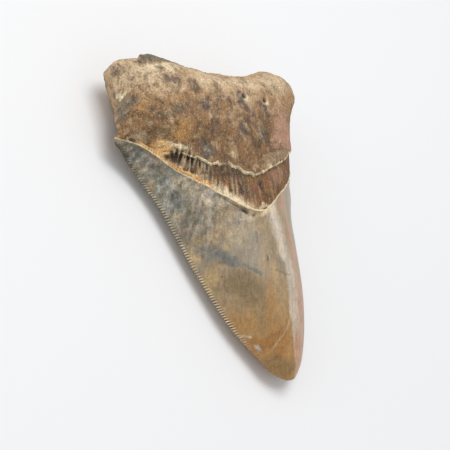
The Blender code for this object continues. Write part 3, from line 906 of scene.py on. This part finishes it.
def crown_colours(skin):
    colour = np.tile(COLOURS["beige"], (len(skin.x), 1))
    near_root, hidden = smooth_step(30, 62, skin.reach), 1.0 - skin.lingual
    colour = mixed(
        colour,
        ("slate", 0.45 * skin.patches(0.1, 0.9, (5, 9, 5), 3, 121)),
        ("straw", 0.35 * skin.patches(0.2, 0.9, (4, 8, 5), 2, 122)),
        ("ochre", 0.8 * (1 - smooth_step(8, 34, skin.reach))),
        ("charcoal", 0.6 * hidden * near_root * skin.patches(0, 0.8, 12, 3, 123)),
        # The band beside the ridge is partly pale stain, partly painted highlight.
        ("mist", pale_stain_and_highlight(skin)),
    )
    stain(skin, colour, CROWN_STAINS)
    left = smooth_step(0.1, -0.5, skin.across) * near_root
    mottle = skin.leaning_noise(STREAK_LEAN, (1.2, 3.2, 3), 3, 124)
    streaks = skin.leaning_noise(FIBRE_LEAN, (1.1, 12, 3), 3, 126)
    return mixed(
        colour,
        ("charcoal", 0.65 * left * smooth_step(0.1, 0.9, mottle)),
        ("moss", 0.55 * left * skin.patches(0.05, 0.8, 2.4, 2, 125)),
        ("blue", 0.5 * left * skin.patches(0.1, 0.8, 2.9, 2, 128)),
        ("straw", 0.35 * left * smooth_step(0.2, 0.8, -skin.noise(2.4, 2, 125))),
        ("frost", 0.35 * left * smooth_step(0.15, 0.8, -mottle)),
        ("charcoal", 0.3 * near_root * smooth_step(0.25, 1.0, streaks)),
        ("pearl", 0.25 * near_root * smooth_step(0.2, 0.9, -streaks)),
    )


def gritty(skin):
    """How speckled the surface is: 1 on most of the root, less on the crown, least at the tip."""
    x, reach, wide, long = SMOOTH_FLANK
    flank = np.exp(-(((skin.x - x) / wide) ** 2) - ((skin.reach - reach) / long) ** 2)
    left = smooth_step(0.2, -0.5, skin.across) * smooth_step(35, 65, skin.reach)
    crown = 0.15 + 0.15 * smooth_step(20, 50, skin.reach) + 0.7 * left
    speckled = np.where(skin.station <= 1, crown, 1 - 0.6 * flank * skin.lingual)
    return speckled * (1 - 0.5 * np.clip(skin.pale, 0, 1))


def tooth_colours(skin):
    """The enamel's, the bourlette's and the root's colours, dirt and painted shade in hollows, pale
    edges and painted highlights.
    """
    root = smooth_step(1.99, 2.0, skin.station)[:, None]
    colour = band_colours(skin) * (1 - root) + root_colours(skin) * root
    enamel = (skin.station <= 1.0)[:, None]
    colour = np.where(enamel, crown_colours(skin), colour)
    return mixed(colour, ("ivory", skin.pale), ("pit", 0.85 * skin.dirt_and_shade))


# ---------------------------------------------------------------- the mesh


def unwrap(mesh, net, skin):
    """A map of two islands: the lingual face upright, the labial one upside down beside it."""
    margin, gap = 3.0, 52.0
    flat = {LINGUAL: skin.flat[LINGUAL], LABIAL: skin.flat[LABIAL] * [1, -1]}
    low, high = flat[LINGUAL].min(0), flat[LINGUAL].max(0)
    flat[LABIAL] = flat[LABIAL] + [high[0] + gap, low[1] + high[1]]
    both = np.concatenate([flat[LINGUAL], flat[LABIAL]])
    low, high = both.min(0) - margin, both.max(0) + margin
    flat = {side: (place - low) / (high - low) for side, place in flat.items()}
    corners = np.empty(len(mesh.loops), np.int32)
    mesh.loops.foreach_get("vertex_index", corners)
    counts = np.array([len(face) for face in net.faces])
    sides = np.repeat(net.face_side, counts)
    places = np.where((sides == LINGUAL)[:, None], flat[LINGUAL][corners], flat[LABIAL][corners])
    layer = mesh.uv_layers.new(name="OFBake")
    layer.data.foreach_set("uv", places.ravel())


def make_tooth():
    net = tooth_net()
    skin = Skin(net)
    mesh = bpy.data.meshes.new("tooth_fossil")
    mesh.from_pydata((skin.place * MM).tolist(), [], net.faces)
    mesh.update()
    normals = np.empty(len(mesh.vertices) * 3, np.float32)
    mesh.vertex_normals.foreach_get("vector", normals)
    for add in RELIEF:
        add(skin)
    moved = skin.place + normals.reshape(-1, 3) * skin.push[:, None] + skin.shift
    placed = (inside_box(moved) + [TIP_X, TIP_Y, 0]) * MM
    mesh.vertices.foreach_set("co", placed.ravel())
    mesh.update()
    unwrap(mesh, net, skin)
    tint = mesh.attributes.new("tint", "FLOAT_COLOR", "POINT")
    colour = np.concatenate([tooth_colours(skin), np.ones((len(skin.x), 1))], -1)
    tint.data.foreach_set("color", colour.ravel())
    fibrous = 1 - smooth_step(2.1, 2.6, skin.station)
    for name, values in (("dirt_and_shade", skin.dirt_and_shade), ("grit", gritty(skin)), ("fibrous", fibrous)):
        layer = mesh.attributes.new(name, "FLOAT", "POINT")
        layer.data.foreach_set("value", np.clip(values, 0, 1))
    mesh.materials.append(enamel_material())
    mesh.materials.append(root_material())
    mesh.polygons.foreach_set("material_index", [int(not enamel) for enamel in net.face_is_enamel])
    mesh.shade_smooth()
    tooth = add_object("tooth_fossil", mesh)
    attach(tooth, "root")
    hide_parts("tooth")


# ---------------------------------------------------------------- materials

PER_MM = 1 / MM  # texture scale of one lump to a millimetre, in the object's metres


class Shader:
    """A material with short calls for the nodes that it is made of."""

    def __init__(self, name):
        self.material = bpy.data.materials.new(name)
        self.material.use_nodes = True
        self.tree = self.material.node_tree
        self.surface = self.tree.nodes["Principled BSDF"]
        self.space = self.node("ShaderNodeTexCoord").outputs["Object"]

    def node(self, kind, inputs=(), **settings):
        made = self.tree.nodes.new(kind)
        for name, value in settings.items():
            setattr(made, name, value)
        for name, value in dict(inputs).items():
            self.set(made.inputs[name], value)
        return made

    def set(self, socket, value):
        if isinstance(value, bpy.types.NodeSocket):
            self.tree.links.new(value, socket)
        else:
            socket.default_value = value

    def finish(self, **inputs):
        for name, value in inputs.items():
            self.set(self.surface.inputs[name.replace("_", " ")], value)
        return self.material

    def attribute(self, name, output="Fac"):
        return self.node("ShaderNodeAttribute", attribute_name=name).outputs[output]

    def stretched(self, stretch, turn):
        """Object space, turned clockwise from above by `turn` degrees and then stretched."""
        inputs = {
            "Vector": self.space, "Rotation": (0, 0, -np.radians(turn)),
            "Scale": [1 / part for part in stretch],
        }
        return self.node("ShaderNodeMapping", inputs, vector_type="TEXTURE").outputs["Vector"]

    def noise(self, scale, detail=4.0, roughness=0.6, distortion=0.0, stretch=(1, 1, 1), turn=0):
        """Noise from 0 to 1 with `scale` lumps to a millimetre, before any stretch."""
        inputs = {
            "Vector": self.stretched(stretch, turn), "Scale": scale * PER_MM, "Detail": detail,
            "Roughness": roughness, "Distortion": distortion,
        }
        return self.node("ShaderNodeTexNoise", inputs).outputs["Fac"]

    def cells(self, scale, feature="DISTANCE_TO_EDGE", warp=0.0):
        """Distances in a net of cells with `scale` cells to a millimetre."""
        place = self.space
        if warp:
            drift = self.node("ShaderNodeTexNoise", {"Vector": place, "Scale": 0.25 * PER_MM})
            drift = self.node("ShaderNodeVectorMath", operation="SCALE", inputs={
                0: drift.outputs["Color"], "Scale": warp * MM,
            })
            place = self.node("ShaderNodeVectorMath", {0: place, 1: drift.outputs[0]}).outputs[0]
        inputs = {"Vector": place, "Scale": scale * PER_MM}
        return self.node("ShaderNodeTexVoronoi", inputs, feature=feature).outputs["Distance"]

    def between(self, value, low, high, to_low=0.0, to_high=1.0):
        """The value's place between low and high, clamped, as to_low to to_high."""
        inputs = {0: value, 1: low, 2: high, 3: to_low, 4: to_high}
        return self.node("ShaderNodeMapRange", inputs).outputs[0]

    def math(self, operation, *values):
        return self.node("ShaderNodeMath", dict(enumerate(values)), operation=operation).outputs[0]

    def mix(self, amount, one, other, blend="MIX"):
        inputs = {0: amount, 6: one, 7: other}
        made = self.node("ShaderNodeMix", inputs, data_type="RGBA", blend_type=blend)
        return made.outputs[2]

    def vary(self, colour, noise, amount):
        """The colour made lighter and darker by noise, by up to half of the amount."""
        off = self.math("SUBTRACT", noise, 0.5)
        factor = self.math("MULTIPLY_ADD", off, amount, 1.0)
        grey = self.node("ShaderNodeCombineColor", {0: factor, 1: factor, 2: factor})
        return self.mix(1.0, colour, grey.outputs[0], "MULTIPLY")

    def bump(self, *layers):
        """A normal from (height, mm) layers of bumps."""
        normal = None
        for height, distance in layers:
            inputs = {"Height": height, "Strength": 1.0, "Distance": distance * MM}
            if normal:
                inputs["Normal"] = normal
            normal = self.node("ShaderNodeBump", inputs).outputs[0]
        return normal


def named(name):
    return (*COLOURS[name], 1.0)


def enamel_material():
    """Satin fossil enamel: stained, finely lined, with hairline cracks and scuffs."""
    s = Shader("fossil_enamel")
    grit = s.attribute("grit")
    lines = s.noise(1.6, 3, 0.6, 0.3, stretch=(1, 0.1, 0.6), turn=11)
    mottle = s.noise(0.55, 5, 0.65, 0.8)
    strokes = s.noise(0.9, 3, 0.6, 0.6, stretch=(1, 0.35, 1), turn=29)
    grain = s.noise(2.4, 3, 0.7)
    colour = s.attribute("tint", "Color")
    clean_and_gritty = ((lines, 0.65, 1.1), (mottle, 0.7, 1.3), (strokes, 0.2, 1.7), (grain, 0.45, 1.8))
    for noise, clean, gritty_amount in clean_and_gritty:
        colour = s.vary(colour, noise, s.between(grit, 0, 1, clean, gritty_amount))
    web = s.between(s.cells(0.11, warp=9.0), 0.0, 0.02, 1.0, 0.0)
    patchy = s.between(s.noise(0.09, 2), 0.5, 0.62)
    crack = s.math("MULTIPLY", web, patchy)
    colour = s.mix(s.math("MULTIPLY", crack, 0.5), colour, named("umber"))
    dirt_and_shade = s.attribute("dirt_and_shade")
    rough = s.between(mottle, 0.3, 0.7, 0.27, 0.42)
    rough = s.math("ADD", rough, s.math("MULTIPLY", dirt_and_shade, 0.35))
    normal = s.bump((lines, 0.05), (mottle, 0.08), (grain, 0.02), (crack, -0.05))
    return s.finish(Base_Color=colour, Roughness=rough, Normal=normal)


def root_material():
    """Matt fossil bone: speckled, fibrous and pitted, darker in its hollows."""
    s = Shader("fossil_root")
    grit, fibrous = s.attribute("grit"), s.attribute("fibrous")
    fibre = s.noise(2.2, 4, 0.65, 0.2, stretch=(1, 0.16, 0.5), turn=11)
    blotch = s.noise(0.5, 5, 0.7, 0.5)
    speckle = s.noise(2.1, 4, 0.75)
    colour = s.attribute("tint", "Color")
    colour = s.vary(colour, fibre, s.math("MULTIPLY", grit, s.between(fibrous, 0, 1, 0.5, 2.1)))
    colour = s.vary(colour, blotch, s.between(grit, 0, 1, 0.5, 1.1))
    colour = s.vary(colour, speckle, s.between(grit, 0, 1, 0.3, 1.9))
    light = s.math("MULTIPLY", s.between(speckle, 0.56, 0.7, 0.0, 0.45), grit)
    colour = s.mix(light, colour, named("cream"), "SCREEN")
    dark = s.between(s.noise(1.7, 4, 0.7), 0.53, 0.68, 0.0, 0.75)
    colour = s.mix(s.math("MULTIPLY", dark, grit), colour, named("umber"))
    pores = s.between(s.cells(0.8, "F1"), 0.06, 0.2, 1.0, 0.0)
    pores = s.math("MULTIPLY", pores, s.between(blotch, 0.45, 0.6))
    colour = s.mix(s.math("MULTIPLY", pores, 0.5), colour, named("pit"))
    rough = s.between(speckle, 0.3, 0.7, 0.88, 0.62)
    normal = s.bump((fibre, 0.2), (blotch, 0.25), (speckle, 0.14), (pores, -0.25))
    return s.finish(Base_Color=colour, Roughness=rough, Normal=normal)


# ---------------------------------------------------------------- stage

CAMERA_BACK = (-0.71836, -0.25612, 0.64681)  # from the tooth to the camera
CAMERA_RIGHT = (0.69484, -0.30976, 0.64904)
CAMERA_TARGET = (0.0, 55.0, 10.0)  # x, reach and height of the point looked at
CAMERA_SHIFT = (-6.93, -2.33)  # mm that the target moves right and up in the picture
CAMERA_DISTANCE = 380.0
CAMERA_LENS = 92.3
FLOOR_SIZE = 6.0
FLOOR_COLOUR, FLOOR_ROUGHNESS = (0.86, 0.86, 0.86, 1.0), 0.6
WORLD_COLOUR, WORLD_STRENGTH = (0.97, 0.98, 1.0, 1.0), 0.6
# metres to the camera's right, up and back, size in metres, and power in watts
KEY_LIGHT = (0.5, 0.7, 0.5, 0.7, 5.6)
FILL_LIGHT = (-0.7, 0.35, 0.7, 0.9, 2.2)


def add_object(name, data):
    made = bpy.data.objects.new(name, data)
    bpy.context.scene.collection.objects.link(made)
    return made


def camera_axes():
    back = Vector(CAMERA_BACK).normalized()
    right = Vector(CAMERA_RIGHT)
    right = (right - back * right.dot(back)).normalized()
    return right, back.cross(right), back


def make_camera():
    right, up, back = camera_axes()
    target = Vector(CAMERA_TARGET) + Vector((TIP_X, TIP_Y, 0))
    target += right * CAMERA_SHIFT[0] + up * CAMERA_SHIFT[1]
    data = bpy.data.cameras.new("camera")
    data.sensor_width = 36
    data.lens = CAMERA_LENS
    data.clip_start, data.clip_end = 0.01, 20
    camera = add_object("camera", data)
    place = Matrix((right, up, back)).transposed().to_4x4()
    place.translation = (target + back * CAMERA_DISTANCE) * MM
    camera.matrix_world = place
    bpy.context.scene.camera = camera


def area_light(name, to_right, to_top, to_back, size, power):
    """A soft square light, placed by distances in metres along the camera's axes."""
    right, up, back = camera_axes()
    data = bpy.data.lights.new(name, "AREA")
    data.shape, data.size, data.energy = "SQUARE", size, power
    light = add_object(name, data)
    light.location = right * to_right + up * to_top + back * to_back
    light.rotation_mode = "QUATERNION"
    light.rotation_quaternion = (-light.location).to_track_quat("-Z", "Y")


def make_stage():
    floor_mesh = bpy.data.meshes.new("floor")
    h = FLOOR_SIZE / 2
    floor_mesh.from_pydata([(-h, -h, 0), (h, -h, 0), (h, h, 0), (-h, h, 0)], [], [(0, 1, 2, 3)])
    material = Shader("floor").finish(Base_Color=FLOOR_COLOUR, Roughness=FLOOR_ROUGHNESS)
    floor_mesh.materials.append(material)
    floor = add_object("floor", floor_mesh)
    area_light("key", *KEY_LIGHT)
    area_light("fill", *FILL_LIGHT)
    world = bpy.data.worlds.new("studio")
    world.use_nodes = True
    background = world.node_tree.nodes["Background"]
    background.inputs["Color"].default_value = WORLD_COLOUR
    background.inputs["Strength"].default_value = WORLD_STRENGTH
    bpy.context.scene.world = world
    bpy.context.scene.view_settings.view_transform = "Standard"


make_tooth()
make_camera()
make_stage()
